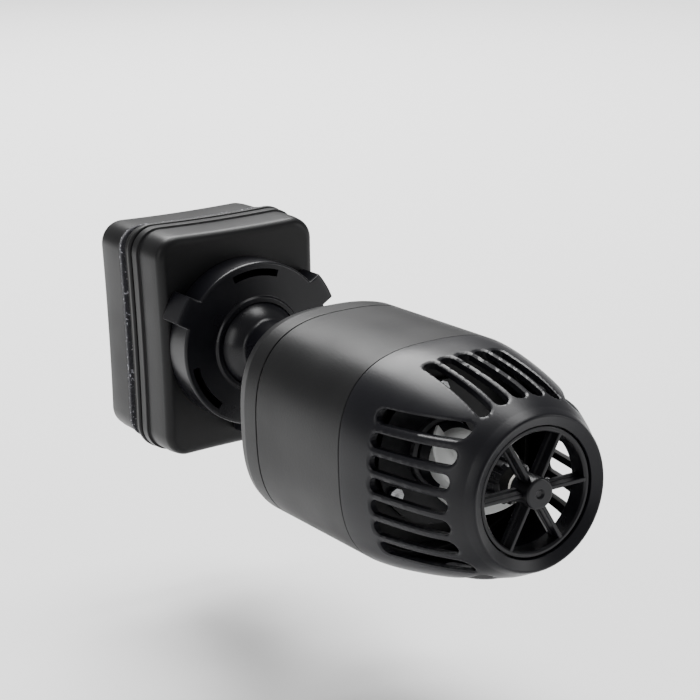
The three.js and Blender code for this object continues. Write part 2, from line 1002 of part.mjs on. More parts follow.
add(
  head,
  "propeller",
  cut(
    join(rod(sleeveRadius, propellerFront, propellerBack, 24), ...blades),
    rod(hubRadius + gap, propellerFront - 1, propellerBack + 1, 24),
    sector(
      hubRadius - 0.5,
      hubRadius + 1.1 + gap,
      dogFront - gap,
      dogBack + gap,
      recessMiddle,
      recessHalf,
      8,
    ),
  ),
  "white",
);

// Cage: the squircle eases to a circle at the nose
const cageBack = seamTwo - gap / 2;
// [distance from the back edge for a 43 mm cage, narrowing in width, in height, power]
const cageRows = [
  [0, 0, 0, headPower],
  [6, 0.6, 0.4, 2.78],
  [12, 1.5, 1.1, 2.7],
  [21, 2.8, 2.35, 2.5],
  [29.5, 4.5, 4, 2.28],
  [34.3, 5.9, 5.35, 2.12],
  [38, 7.3, 6.7, 2],
  [40.8, 8.8, 8.2, 2],
];
const stretch = cageLength / 43;
// the last row meets the mouth's lip, so the narrowing follows the head's sizes and the mouth
const lipRadius = mouthRadius + 1.05;
const shareWide = (headHalfWide - lipRadius) / cageRows.at(-1)[1];
const shareTall = (headHalfTall - lipRadius) / cageRows.at(-1)[2];
function cageRing(row, inset) {
  const [s, dw, dh, n] = row;
  const halfWide = headHalfWide - dw * shareWide - inset;
  const halfTall = headHalfTall - dh * shareTall - inset;
  return { y: cageBack - s * stretch, outline: headOutline(halfWide, halfTall, n) };
}
const round = (radius, y) => ({ y, outline: headOutline(radius, radius, 2) });
const innerRows = cageRows.filter(([s]) => s !== 6 && s !== 21 && s <= 34.3);
const rimShell = loft(
  [
    ...cageRows.map((row) => cageRing(row, 0)),
    round(mouthRadius + 0.9, noseEnd + 0.55),
    round(mouthRadius + 0.35, noseEnd + 0.05),
    round(mouthRadius, noseEnd),
    round(ringSeatRadius, noseEnd + 1.3),
    round(ringSeatRadius, noseEnd + 3.6),
    round(ringSeatRadius + 2.6, noseEnd + 3.6),
    round(ringSeatRadius + 3.4, noseEnd + 4.6),
    ...innerRows.map((row) => cageRing(row, cageWall)).reverse(),
  ],
  true,
);
const slotTools = [];
function stadium(halfLong, halfHigh) {
  // [along, across] points: two half circles joined by straight sides
  const points = [];
  for (let i = 0; i <= 4; i += 1) {
    const a = -Math.PI / 2 + (Math.PI * i) / 4;
    points.push([halfLong - halfHigh + halfHigh * Math.cos(a), halfHigh * Math.sin(a)]);
  }
  for (let i = 0; i <= 4; i += 1) {
    const a = Math.PI / 2 + (Math.PI * i) / 4;
    points.push([-halfLong + halfHigh + halfHigh * Math.cos(a), halfHigh * Math.sin(a)]);
  }
  return points;
}
const slotCentre = cageBack - slotStart - slotLength / 2;
const slotShape = stadium(slotLength / 2, slotHeight / 2);
const slotBar = alongX(prism(slotShape, 6, headHalfWide + 4), "x");
for (const side of [1, -1]) {
  const sideBar = turnedBy(slotBar, side > 0 ? 0 : Math.PI);
  const topBar = turnedBy(slotBar, (side * Math.PI) / 2);
  for (let i = -3; i <= 3; i += 1) slotTools.push(moved(sideBar, 0, slotCentre, i * sidePitch));
  for (let i = -2; i <= 2; i += 1) slotTools.push(moved(topBar, i * topPitch, slotCentre, 0));
}
add(head, "cage", cut(rimShell, ...slotTools), "cageBlack");

// Grille ring: short throat, six ribbed spokes and the boss for the front bush
const ringOuter = ringSeatRadius - gap;
const grilleFront = noseEnd + 1.7;
const flangeOne = noseEnd + 3.6 + gap;
const grille = turned(
  [
    [ringOuter, grilleFront],
    [ringOuter, flangeOne],
    [ringSeatRadius + 1.5, flangeOne],
    [ringSeatRadius + 1.5, flangeOne + 1.2],
    [throatRadius + 0.7, flangeOne + 2.4],
    [throatRadius - 0.2, flangeOne + 2.4],
    [throatRadius, grilleFront + 0.6],
    [throatRadius + 0.4, grilleFront],
    [ringOuter, grilleFront],
  ],
  32,
);
// T section of a spoke, as [across, y], run out along +X
const ribTop = grilleFront + 0.1;
const spokeOutline = [
  [-1, ribTop + 3.6],
  [-1, ribTop + 2.4],
  [-0.55, ribTop + 2.1],
  [-0.5, ribTop],
  [0.5, ribTop],
  [0.55, ribTop + 2.1],
  [1, ribTop + 2.4],
  [1, ribTop + 3.6],
];
const spokeBar = alongX(prism(spokeOutline, bossOuter - 0.8, throatRadius + 0.5), "z");
const spokes = [];
for (let i = 0; i < 6; i += 1) spokes.push(turnedBy(spokeBar, (i * Math.PI) / 3));
const boss = turned(
  [
    [0, bossTip + 0.6],
    [0.9, bossTip + 0.5],
    [1.2, bossTip],
    [bossOuter - 0.5, bossTip],
    [bossOuter, bossTip + 0.5],
    [bossOuter, bossRear],
    [0, bossRear],
  ],
  20,
);
add(
  head,
  "nose_ring",
  cut(join(grille, ...spokes, boss), rod(pocketRadius, pocketEnd, bossRear + 1, 24)),
  "glossBlack",
);

export default pump;
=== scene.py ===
import json
import math

import bpy
import numpy as np
from mathutils import Matrix, Vector


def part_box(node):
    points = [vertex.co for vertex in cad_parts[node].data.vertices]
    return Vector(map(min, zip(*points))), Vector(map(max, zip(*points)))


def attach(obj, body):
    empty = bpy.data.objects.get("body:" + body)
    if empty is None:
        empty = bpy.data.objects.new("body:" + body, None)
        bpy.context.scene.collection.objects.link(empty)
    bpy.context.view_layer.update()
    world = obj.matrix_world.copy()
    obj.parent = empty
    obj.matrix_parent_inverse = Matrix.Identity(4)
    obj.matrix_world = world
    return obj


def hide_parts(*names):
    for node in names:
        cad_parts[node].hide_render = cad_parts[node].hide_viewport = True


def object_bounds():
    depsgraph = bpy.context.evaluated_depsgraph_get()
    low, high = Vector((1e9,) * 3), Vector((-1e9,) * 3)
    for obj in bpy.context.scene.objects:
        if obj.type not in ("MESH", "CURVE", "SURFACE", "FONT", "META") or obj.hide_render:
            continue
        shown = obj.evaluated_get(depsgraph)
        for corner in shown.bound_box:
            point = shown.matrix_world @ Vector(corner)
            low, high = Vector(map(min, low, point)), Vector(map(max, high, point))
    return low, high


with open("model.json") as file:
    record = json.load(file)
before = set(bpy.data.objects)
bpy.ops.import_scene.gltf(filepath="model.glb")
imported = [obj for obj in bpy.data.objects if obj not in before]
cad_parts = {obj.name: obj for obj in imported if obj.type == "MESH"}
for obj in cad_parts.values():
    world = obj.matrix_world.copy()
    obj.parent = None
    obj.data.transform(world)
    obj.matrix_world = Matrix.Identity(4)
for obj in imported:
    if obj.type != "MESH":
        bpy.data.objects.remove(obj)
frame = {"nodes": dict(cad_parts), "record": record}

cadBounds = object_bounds()
tau = 2 * math.pi
mm = 1000.0
print("frame loaded:", len(frame["nodes"]), "nodes")


# lowest and highest corner of a node in millimetres
def span(node):
    low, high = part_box(node)
    return np.array(low) * mm, np.array(high) * mm


# ---- profiles and grids

# A polyline whose corners are arcs: each corner (a, b, radius) becomes points on the arc
# tangent to its two sides, with a support point just outside each end of the arc.
def softened(corners, steps=5, closed=False):
    points = []
    count = len(corners)
    for i, (a, b, radius) in enumerate(corners):
        here = np.array([a, b], float)
        if radius <= 0 or (not closed and i in (0, count - 1)):
            points.append(here)
            continue
        before = np.array(corners[i - 1][:2], float) - here
        after = np.array(corners[(i + 1) % count][:2], float) - here
        lenBefore, lenAfter = np.linalg.norm(before), np.linalg.norm(after)
        before, after = before / lenBefore, after / lenAfter
        half = math.acos(float(np.clip(before @ after, -1, 1))) / 2
        if abs(half - math.pi / 2) < 0.02:
            points.append(here)
            continue
        reach = min(radius / math.tan(half), 0.45 * lenBefore, 0.45 * lenAfter)
        radius = reach * math.tan(half)
        middle = here + (before + after) / np.linalg.norm(before + after) * radius / math.sin(half)
        start, end = here + before * reach - middle, here + after * reach - middle
        angle = math.atan2(start[0] * end[1] - start[1] * end[0], start @ end)
        turn = np.linspace(0, angle, steps)
        cosTurn, sinTurn = np.cos(turn), np.sin(turn)
        arcPoints = np.stack(
            [start[0] * cosTurn - start[1] * sinTurn, start[0] * sinTurn + start[1] * cosTurn], -1
        )
        points.append(here + before * min(reach * 1.12, 0.48 * lenBefore))
        points.extend(middle + arcPoints)
        points.append(here + after * min(reach * 1.12, 0.48 * lenAfter))
    return np.array(points)


# quads of a rows x cols grid, wrapped where asked
def gridQuads(rows, cols, wrapRows=False, wrapCols=True):
    r = np.arange(rows if wrapRows else rows - 1)
    c = np.arange(cols if wrapCols else cols - 1)
    r, c = np.meshgrid(r, c, indexing="ij")
    r2, c2 = (r + 1) % rows, (c + 1) % cols
    return np.stack([r * cols + c, r * cols + c2, r2 * cols + c2, r2 * cols + c], -1).reshape(-1, 4)


# six times the signed volume, by the sum of a . (b x c) over the fans of all faces
def volumeSign(points, quads, tris):
    total = 0.0
    for a, b, c in ((0, 1, 2), (0, 2, 3)):
        total += np.einsum(
            "ij,ij->", points[quads[:, a]], np.cross(points[quads[:, b]], points[quads[:, c]])
        )
    if len(tris):
        total += np.einsum(
            "ij,ij->", points[tris[:, 0]], np.cross(points[tris[:, 1]], points[tris[:, 2]])
        )
    return total


# closed surfaces as (points, quads, tris), faces turned outward one by one, then put together
def gather(parts):
    allPoints, allQuads, allTris, shift = [], [], [], 0
    for points, quads, tris in parts:
        tris = np.zeros((0, 3), int) if tris is None else tris
        if volumeSign(points, quads, tris) < 0:
            quads, tris = quads[:, ::-1], tris[:, ::-1]
        allPoints.append(points)
        allQuads.append(quads + shift)
        allTris.append(tris + shift)
        shift += len(points)
    return np.concatenate(allPoints), np.concatenate(allQuads), np.concatenate(allTris)


def makePiece(name, parts, body, nodes, material, sharp=38):
    points, quads, tris = gather(parts)
    mesh = bpy.data.meshes.new(name)
    mesh.from_pydata((points / mm).tolist(), [], quads.tolist() + tris.tolist())
    mesh.validate()
    mesh.polygons.foreach_set("use_smooth", np.ones(len(mesh.polygons), bool))
    mesh.set_sharp_from_angle(angle=math.radians(sharp))
    mesh.materials.append(material)
    piece = bpy.data.objects.new(name, mesh)
    bpy.context.scene.collection.objects.link(piece)
    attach(piece, body)
    if nodes:
        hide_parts(*nodes)
    return piece


# Rings stacked into a closed body: open ends get one more ring close inside the rim, then a fan.
def stacked(rings, loop=False):
    rings = np.asarray(rings)
    if not loop:
        firstMiddle, lastMiddle = rings[0].mean(0), rings[-1].mean(0)
        inFirst = firstMiddle + (rings[0] - firstMiddle) * 0.97
        inLast = lastMiddle + (rings[-1] - lastMiddle) * 0.97
        rings = np.concatenate([inFirst[None], rings, inLast[None]])
    rows, cols = rings.shape[:2]
    points = rings.reshape(-1, 3)
    quads = gridQuads(rows, cols, wrapRows=loop)
    if loop:
        return points, quads, None
    c = np.arange(cols)
    base = rows * cols
    points = np.concatenate([points, firstMiddle[None], lastMiddle[None]])
    first = np.stack([np.full(cols, base), (c + 1) % cols, c], -1)
    top = (rows - 1) * cols
    last = np.stack([np.full(cols, base + 1), top + c, top + (c + 1) % cols], -1)
    return points, quads, np.concatenate([first, last])


# A profile of (radius, y) turned about a line along Y: x = r cos t, z = r sin t.
def turnedBody(profile, count=128, centre=(0.0, 0.0), loop=False, swell=None):
    t = np.arange(count) / count * tau
    radius = np.maximum(profile[:, 0], 0.02)[:, None] * np.ones(count)
    if swell is not None:
        radius = swell(radius, profile[:, 1][:, None], t[None, :])
    y = profile[:, 1][:, None] * np.ones(count)
    rings = np.stack([centre[0] + radius * np.cos(t), y, centre[1] + radius * np.sin(t)], -1)
    return stacked(rings, loop)


# Rounded rectangle with each side drawn in by bow * (1 - s^2), seen along Y.
def plateOutline(halfWide, halfTall, corner, bow, perArc=12, perSide=13):
    points = []
    u = np.linspace(0, 1, perArc)
    s = np.linspace(-1, 1, perSide + 2)[1:-1]
    for quarter, (sx, sz) in enumerate(((1, 1), (-1, 1), (-1, -1), (1, -1))):
        angle = (quarter + u) * math.pi / 2
        points.append(
            np.stack(
                [
                    sx * (halfWide - corner) + corner * np.cos(angle),
                    sz * (halfTall - corner) + corner * np.sin(angle),
                ],
                -1,
            )
        )
        inward = bow * (1 - s * s)
        along = (halfWide if quarter % 2 == 0 else halfTall) - corner
        side = (
            (-s * along, halfTall - inward),
            (-halfWide + inward, -s * along),
            (s * along, -halfTall + inward),
            (halfWide - inward, s * along),
        )[quarter]
        points.append(np.stack(side, -1))
    return np.concatenate(points)


# A plate from a profile of (inset, y): the outline shrinks by the inset.
def plateBody(profile, halfWide, halfTall, corner, bow, loop=False):
    rings = []
    for inset, y in profile:
        outline = plateOutline(
            halfWide - inset, halfTall - inset, max(corner - inset, 0.8), bow
        )
        rings.append(np.stack([outline[:, 0], np.full(len(outline), y), outline[:, 1]], -1))
    return stacked(rings, loop)


# Superellipse: x = a |cos t|^(2/n), z = b |sin t|^(2/n), with the signs of cos and sin.
def superPoint(t, a, b, n):
    c, s = np.cos(t), np.sin(t)
    return np.sign(c) * a * np.abs(c) ** (2 / n), np.sign(s) * b * np.abs(s) ** (2 / n)


# values of t that lie evenly along a superellipse's outline
def evenAngles(a, b, n, count):
    t = np.linspace(0, tau, 7201)
    x, z = superPoint(t, a, b, n)
    length = np.concatenate([[0], np.cumsum(np.hypot(np.diff(x), np.diff(z)))])
    return np.interp(np.arange(count) / count * length[-1], length, t)


# ---- materials

def newMaterial(name):
    material = bpy.data.materials.new(name)
    material.use_nodes = True
    tree = material.node_tree
    shader = tree.nodes["Principled BSDF"]
    return material, tree, shader


def setNode(tree, kind, inputs=None, **values):
    node = tree.nodes.new(kind)
    for key, value in values.items():
        setattr(node, key, value)
    for key, value in (inputs or {}).items():
        node.inputs[key].default_value = value
    return node


# Moulded skin: fine sparkle-free grain and slow mottling. Grain is a height, Tone a 0 to 1 mask.
def buildGrainGroup():
    group = bpy.data.node_groups.new("mouldedGrain", "ShaderNodeTree")
    for name, value in (("Fine Scale", 900.0), ("Slow Scale", 40.0), ("Slow Share", 0.3)):
        socket = group.interface.new_socket(name, in_out="INPUT", socket_type="NodeSocketFloat")
        socket.default_value = value
    group.interface.new_socket("Grain", in_out="OUTPUT", socket_type="NodeSocketFloat")
    group.interface.new_socket("Tone", in_out="OUTPUT", socket_type="NodeSocketFloat")
    source = group.nodes.new("NodeGroupInput")
    sink = group.nodes.new("NodeGroupOutput")
    place = group.nodes.new("ShaderNodeTexCoord")
    fine = setNode(group, "ShaderNodeTexNoise", {"Detail": 4.0, "Roughness": 0.6})
    slow = setNode(group, "ShaderNodeTexNoise", {"Detail": 3.0, "Roughness": 0.55})
    blend = setNode(group, "ShaderNodeMix", data_type="FLOAT")
    group.links.new(place.outputs["Object"], fine.inputs["Vector"])
    group.links.new(place.outputs["Object"], slow.inputs["Vector"])
    group.links.new(source.outputs["Fine Scale"], fine.inputs["Scale"])
    group.links.new(source.outputs["Slow Scale"], slow.inputs["Scale"])
    group.links.new(source.outputs["Slow Share"], blend.inputs["Factor"])
    group.links.new(fine.outputs["Fac"], blend.inputs["A"])
    group.links.new(slow.outputs["Fac"], blend.inputs["B"])
    group.links.new(blend.outputs["Result"], sink.inputs["Grain"])
    group.links.new(slow.outputs["Fac"], sink.inputs["Tone"])
    return group


grainGroup = buildGrainGroup()


# A plastic or rubber whose colour and gloss drift between two values with the grain's tone.
def mouldedMaterial(name, look):
    material, tree, shader = newMaterial(name)
    grain = tree.nodes.new("ShaderNodeGroup")
    grain.node_tree = grainGroup
    grain.inputs["Fine Scale"].default_value = look["fine"]
    grain.inputs["Slow Scale"].default_value = look["slow"]
    grain.inputs["Slow Share"].default_value = look.get("share", 0.15)
    colour = setNode(tree, "ShaderNodeMix", data_type="RGBA")
    colour.inputs["A"].default_value = (*look["dark"], 1)
    colour.inputs["B"].default_value = (*look["light"], 1)
    gloss = setNode(tree, "ShaderNodeMapRange", {"From Min": 0.3, "From Max": 0.7})
    gloss.inputs["To Min"].default_value = look["rough"][0]
    gloss.inputs["To Max"].default_value = look["rough"][1]
    bump = setNode(tree, "ShaderNodeBump", {"Strength": look["bump"], "Distance": 0.0002})
    tree.links.new(grain.outputs["Tone"], colour.inputs["Factor"])
    tree.links.new(grain.outputs["Tone"], gloss.inputs["Value"])
    tree.links.new(grain.outputs["Grain"], bump.inputs["Height"])
    tree.links.new(colour.outputs["Result"], shader.inputs["Base Color"])
    tree.links.new(gloss.outputs["Result"], shader.inputs["Roughness"])
    tree.links.new(bump.outputs["Normal"], shader.inputs["Normal"])
    shader.inputs["Specular IOR Level"].default_value = look.get("specular", 0.5)
    shader.inputs["Metallic"].default_value = look.get("metal", 0.0)
    return material


looks = {
    "satin_black": dict(
        dark=(0.0045, 0.0045, 0.005), light=(0.0075, 0.0075, 0.008), rough=(0.36, 0.46),
        fine=1500, slow=45, bump=0.12, specular=0.2,
    ),
    "cage_plastic": dict(
        dark=(0.0035, 0.0035, 0.005), light=(0.006, 0.006, 0.0085), rough=(0.3, 0.38),
        fine=1800, slow=50, bump=0.08, specular=0.22,
    ),
    "gloss_black": dict(
        dark=(0.003, 0.003, 0.0042), light=(0.005, 0.005, 0.007), rough=(0.26, 0.34),
        fine=1600, slow=60, bump=0.06, specular=0.26,
    ),
    "white_plastic": dict(
        dark=(0.62, 0.63, 0.62), light=(0.72, 0.73, 0.72), rough=(0.35, 0.45),
        fine=1200, slow=60, bump=0.05,
    ),
    "rubber": dict(
        dark=(0.004, 0.004, 0.004), light=(0.008, 0.008, 0.008), rough=(0.6, 0.72),
        fine=1300, slow=70, bump=0.2, specular=0.2,
    ),
    "ferrite": dict(
        dark=(0.05, 0.05, 0.055), light=(0.09, 0.09, 0.095), rough=(0.5, 0.65),
        fine=900, slow=120, bump=0.2,
    ),
    "ceramic": dict(
        dark=(0.68, 0.66, 0.6), light=(0.78, 0.76, 0.71), rough=(0.18, 0.26),
        fine=1500, slow=90, bump=0.03,
    ),
}


# Speckled felt: matted fibres from stretched noise, with scattered pale flecks.
def feltMaterial():
    material, tree, shader = newMaterial("felt")
    place = tree.nodes.new("ShaderNodeTexCoord")
    fibres = setNode(
        tree, "ShaderNodeTexNoise",
        {"Scale": 1400.0, "Detail": 5.0, "Roughness": 0.7, "Distortion": 1.5},
    )
    flecks = setNode(tree, "ShaderNodeTexNoise", {"Scale": 1100.0, "Detail": 2.0, "Roughness": 0.5})
    mask = setNode(tree, "ShaderNodeMapRange", {"From Min": 0.62, "From Max": 0.68})
    colour = setNode(tree, "ShaderNodeMix", data_type="RGBA")
    colour.inputs["A"].default_value = (0.012, 0.012, 0.018, 1)
    colour.inputs["B"].default_value = (0.45, 0.45, 0.5, 1)
    bump = setNode(tree, "ShaderNodeBump", {"Strength": 0.8, "Distance": 0.0006})
    tree.links.new(place.outputs["Object"], fibres.inputs["Vector"])
    tree.links.new(place.outputs["Object"], flecks.inputs["Vector"])
    tree.links.new(flecks.outputs["Fac"], mask.inputs["Value"])
    tree.links.new(mask.outputs["Result"], colour.inputs["Factor"])
    tree.links.new(fibres.outputs["Fac"], bump.inputs["Height"])
    tree.links.new(colour.outputs["Result"], shader.inputs["Base Color"])
    tree.links.new(bump.outputs["Normal"], shader.inputs["Normal"])
    shader.inputs["Roughness"].default_value = 0.95
    shader.inputs["Sheen Weight"].default_value = 0.3
    return material


# Banded metal: wave bands across one axis shade the colour and lift the surface.
def bandedMetal(name, dark, light, axis, scale, rough, bumpStrength):
    material, tree, shader = newMaterial(name)
    place = tree.nodes.new("ShaderNodeTexCoord")
    bands = setNode(
        tree, "ShaderNodeTexWave", {"Scale": scale, "Distortion": 0.6, "Detail": 2.0},
        bands_direction=axis,
    )
    colour = setNode(tree, "ShaderNodeMix", data_type="RGBA")
    colour.inputs["A"].default_value = (*dark, 1)
    colour.inputs["B"].default_value = (*light, 1)
    bump = setNode(tree, "ShaderNodeBump", {"Strength": bumpStrength, "Distance": 0.0002})
    tree.links.new(place.outputs["Object"], bands.inputs["Vector"])
    tree.links.new(bands.outputs["Fac"], colour.inputs["Factor"])
    tree.links.new(bands.outputs["Fac"], bump.inputs["Height"])
    tree.links.new(colour.outputs["Result"], shader.inputs["Base Color"])
    tree.links.new(bump.outputs["Normal"], shader.inputs["Normal"])
    shader.inputs["Metallic"].default_value = 1.0
    shader.inputs["Roughness"].default_value = rough
    return material


materials = {name: mouldedMaterial(name, look) for name, look in looks.items()}
materials["felt"] = feltMaterial()
materials["steel"] = bandedMetal("steel", (0.45, 0.46, 0.47), (0.6, 0.6, 0.61), "Z", 700, 0.32, 0.1)
materials["lamination"] = bandedMetal(
    "lamination", (0.12, 0.12, 0.13), (0.42, 0.43, 0.45), "Y", 320, 0.45, 0.5
)
materials["copper"] = bandedMetal(
    "copper", (0.42, 0.16, 0.07), (0.75, 0.36, 0.18), "Y", 520, 0.35, 0.6
)

for entry in frame["record"]["subparts"]:
    cadMesh = frame["nodes"][entry["node"]].data
    cadMesh.materials.clear()
    cadMesh.materials.append(materials[entry["material_slot"]])
print("materials ready:", len(materials))


# ---- magnet plates

plateShape = {"corner": 6.5, "bow": 0.3, "wall": 2.0}


def plateSizes(node, grow=0.0):
    low, high = span(node)
    return (high[0] - low[0]) / 2 + grow, (high[2] - low[2]) / 2 + grow, low[1], high[1]


wide, tall, near, far = plateSizes("dry_housing")
wall = plateShape["wall"]
dryProfile = softened(
    [
        (wall, near, 0), (0.05, near, 0.4), (0, near + 3, 0), (0, far - 5, 0), (0.35, far, 3.2),
        (12, far, 0), (wide - 3, far, 0),
    ],
    steps=9,
)
makePiece(
    "dryShell",
    [plateBody(dryProfile, wide, tall, plateShape["corner"], plateShape["bow"])],
    "dry_mount", ["dry_housing"], materials["satin_black"],
)

wide, tall, near, far = plateSizes("dry_felt_pad")
feltRows = softened([(1.0, near, 0), (0, near, 0.45), (0, far, 0.3), (1.0, far, 0)], steps=4)
makePiece(
    "feltPad", [plateBody(feltRows, wide, tall, plateShape["corner"], plateShape["bow"])],
    "dry_mount", ["dry_felt_pad"], materials["felt"],
)

wide, tall, near, far = plateSizes("wet_rubber_pad")
padRows = softened([(1.0, near, 0), (0, near, 0.2), (0, far, 0.5), (1.0, far, 0)], steps=4)
makePiece(
    "wetPad", [plateBody(padRows, wide, tall, plateShape["corner"], plateShape["bow"])],
    "wet_mount", ["wet_rubber_pad"], materials["rubber"],
)

wide, tall, near, far = plateSizes("wet_cover")
coverRows = softened([(1.5, near, 0), (0, near, 0.75), (0, far, 0.75), (1.5, far, 0)], steps=6)
makePiece(
    "wetBackPlate", [plateBody(coverRows, wide, tall, plateShape["corner"] + 1, plateShape["bow"])],
    "wet_mount", ["wet_cover"], materials["satin_black"],
)

# The holder steps from its bead to the band, and rounds over to a flat front.
wide, tall, near, far = plateSizes("wet_holder")
ringLow, ringHigh = span("clamp_ring")
holderFront = ringHigh[1] + 0.3
holderShape = {"beadDepth": 3.3, "step": 0.62, "frontRound": 2.6, "bossRadius": 18.0}
step = holderShape["step"]
holderRows = softened(
    [
        (1.6, far, 0), (0.0, far, 0.7), (0.0, far - holderShape["beadDepth"], 0.6),
        (step, far - holderShape["beadDepth"] - 0.15, 0.25), (step + 0.05, holderFront + 4.6, 0),
        (step + 0.55, holderFront, holderShape["frontRound"]), (8.0, holderFront, 0),
    ],
    steps=9,
)
ballLow, ballHigh = span("ball_stem")
seatRadius = (ballHigh[0] - ballLow[0]) / 2 + 0.3
ballY = span("wet_holder")[0][1] + 0.2
bossRows = softened(
    [
        (seatRadius + 0.9, holderFront + 1.5, 0), (holderShape["bossRadius"], holderFront + 1.5, 0),
        (holderShape["bossRadius"], ballY - 0.2, 0.5), (seatRadius + 1.1, ballY - 0.2, 0.4),
    ],
    closed=True,
)
makePiece(
    "holderShell",
    [
        plateBody(holderRows, wide, tall, plateShape["corner"] + 0.6, plateShape["bow"]),
        turnedBody(bossRows, 96, loop=True),
    ],
    "wet_mount", ["wet_holder"], materials["satin_black"],
)
print("plates made")


# ---- clamp ring: a turned section whose outside swells into three tabs, with three windows

ringShape = {
    "wall": 1.6, "frontWall": 2.2, "tabRise": 3.4, "tabHalf": 10.0, "tabSide": 2.0,
    "tabs": (30, 150, 270), "windows": (90, 210, 330), "windowHalf": 20,
    "windowIn": 3.7, "windowOut": 1.75,
}


def buildClampRing():
    low, high = span("clamp_ring")
    back = high[1]
    ballRadius = (ballHigh[0] - ballLow[0]) / 2
    outer = ballRadius + 10.2
    front = ballY - 4.0
    inside = front + ringShape["frontWall"] - 0.4
    windowIn, windowOut = outer - ringShape["windowIn"], outer - ringShape["windowOut"]
    lip = ballRadius + 0.3
    spots = np.array(
        [(lip * math.sin(a), ballY - lip * math.cos(a)) for a in np.radians([68, 72, 77, 81.5])]
    )
    profile = np.concatenate(
        [
            softened([(outer - ringShape["wall"], back, 0), (outer, back, 0.35),
                      (outer, front, 0.75), (windowOut, front, 0)], steps=6),
            [[windowIn, front]],
            softened([(windowIn - 0.3, front, 0), (ballRadius + 1.0, front, 0.35),
                      (ballRadius + 0.55, low[1], 0.45), (spots[0, 0], low[1], 0.15)], steps=6),
            spots,
            [[windowIn, inside], [windowOut, inside], [outer - ringShape["wall"], inside]],
        ]
    )
    rowIn = int(np.where(np.all(np.isclose(profile, [windowIn, front]), axis=1))[0][0])
    innerIn = len(profile) - 3
    # angles: even steps, with extra ones at the tabs' flanks and the windows' ends
    extra = []
    for middle in ringShape["tabs"]:
        flank = ringShape["tabHalf"] - 1.4 + np.linspace(-0.5, 2.5, 13)
        extra.append(np.concatenate([middle + flank, middle - flank]))
    for middle in ringShape["windows"]:
        end = ringShape["windowHalf"]
        extra.append(middle + np.array([-end, end]))
    even = np.arange(0, 360, 1.5)
    degrees = np.concatenate([even, *extra]) % 360
    degrees = np.unique(np.round(degrees, 3))
    keep = np.concatenate([[True], np.diff(degrees) > 0.12])
    for middle in ringShape["windows"]:
        for end in (-1, 1):
            value = round((middle + end * ringShape["windowHalf"]) % 360, 3)
            keep |= np.isclose(degrees, value)
    degrees = degrees[keep]
    t = np.radians(degrees)
    # tab(t) eases from 1 to 0 over the flank: 1 - smoothstep(|t - middle| - half)
    tab = np.zeros(len(t))
    for middle in ringShape["tabs"]:
        away = np.abs((degrees - middle + 180) % 360 - 180) - (ringShape["tabHalf"] - 1.4)
        ease = np.clip(away / ringShape["tabSide"], 0, 1)
        tab = np.maximum(tab, 1 - ease * ease * (3 - 2 * ease))
    radius = profile[:, 0][:, None] * np.ones(len(t))
    share = np.clip((profile[:, 0] - (outer - 1.2)) / 1.0, 0, 1)
    share[-3:] = 0
    share[0] = 0
    radius = radius + ringShape["tabRise"] * tab[None, :] * share[:, None]
    y = profile[:, 1][:, None] * np.ones(len(t))
    rows, cols = radius.shape
    points = np.stack([radius * np.cos(t), y, radius * np.sin(t)], -1).reshape(-1, 3)
    quads = gridQuads(rows, cols, wrapRows=True)
    faceRow = np.repeat(np.arange(rows), cols)
    faceCol = np.tile(np.arange(cols), rows)
    middleAngle = degrees[faceCol] + 0.5 * ((np.roll(degrees, -1) - degrees) % 360)[faceCol]
    holed = np.zeros(len(quads), bool)
    walls = []
    for middle in ringShape["windows"]:
        inWindow = np.abs((middleAngle - middle + 180) % 360 - 180) < ringShape["windowHalf"] - 0.01
        holed |= inWindow & ((faceRow == rowIn - 1) | (faceRow == innerIn))
        cells = np.unique(faceCol[inWindow])
        order = np.argsort((degrees[cells] - middle + 180) % 360)
        cells = cells[order]
        ends = np.append(cells, (cells[-1] + 1) % cols)
        a, b = ends[:-1], ends[1:]
        outRow, inRow = rowIn - 1, rowIn
        inOut, inIn = innerIn + 1, innerIn
        first, last = ends[:1], ends[-1:]
        for corners in (
            ((inRow, a), (inRow, b), (inIn, b), (inIn, a)),
            ((outRow, b), (outRow, a), (inOut, a), (inOut, b)),
            ((outRow, first), (inRow, first), (inIn, first), (inOut, first)),
            ((inRow, last), (outRow, last), (inOut, last), (inIn, last)),
        ):
            walls.append(np.stack([row * cols + col for row, col in corners], -1))
    quads = np.concatenate([quads[~holed], *walls])
    return [(points, quads, None)]


makePiece(
    "lockRing", buildClampRing(), "lock_ring", ["clamp_ring"],
    materials["gloss_black"],
)

# ---- ball and trumpet neck

neckShape = {"radius": 7.8, "dip": 0.5, "rise": 0.5}


def buildStem():
    low, high = span("ball_stem")
    ballRadius = (high[0] - low[0]) / 2
    rear = span("rear_cap")[1][1] + 0.3
    topAngle = math.degrees(math.asin(neckShape["radius"] / ballRadius))
    angles = np.radians(np.linspace(155, topAngle + 1, 44))
    ball = np.stack([ballRadius * np.sin(angles), ballY - ballRadius * np.cos(angles)], -1)
    start = ballY - ballRadius * math.cos(math.radians(topAngle))
    u = np.linspace(0.03, 1, 34)
    neckRadius = (
        neckShape["radius"]
        - neckShape["dip"] * np.sin(np.pi * u)
        + neckShape["radius"] * neckShape["rise"] * u**3
    )
    neck = np.stack([neckRadius, start - (start - rear) * u], -1)
    end = np.array([[neck[-1, 0] - 0.5, rear], [5.0, rear], [5.0, low[1]]])
    return [turnedBody(np.concatenate([ball, neck, end]), 128)]


makePiece(
    "ballNeck", buildStem(), "pump_head", ["ball_stem"], materials["gloss_black"]
)
print("joint made")


# ---- head shells

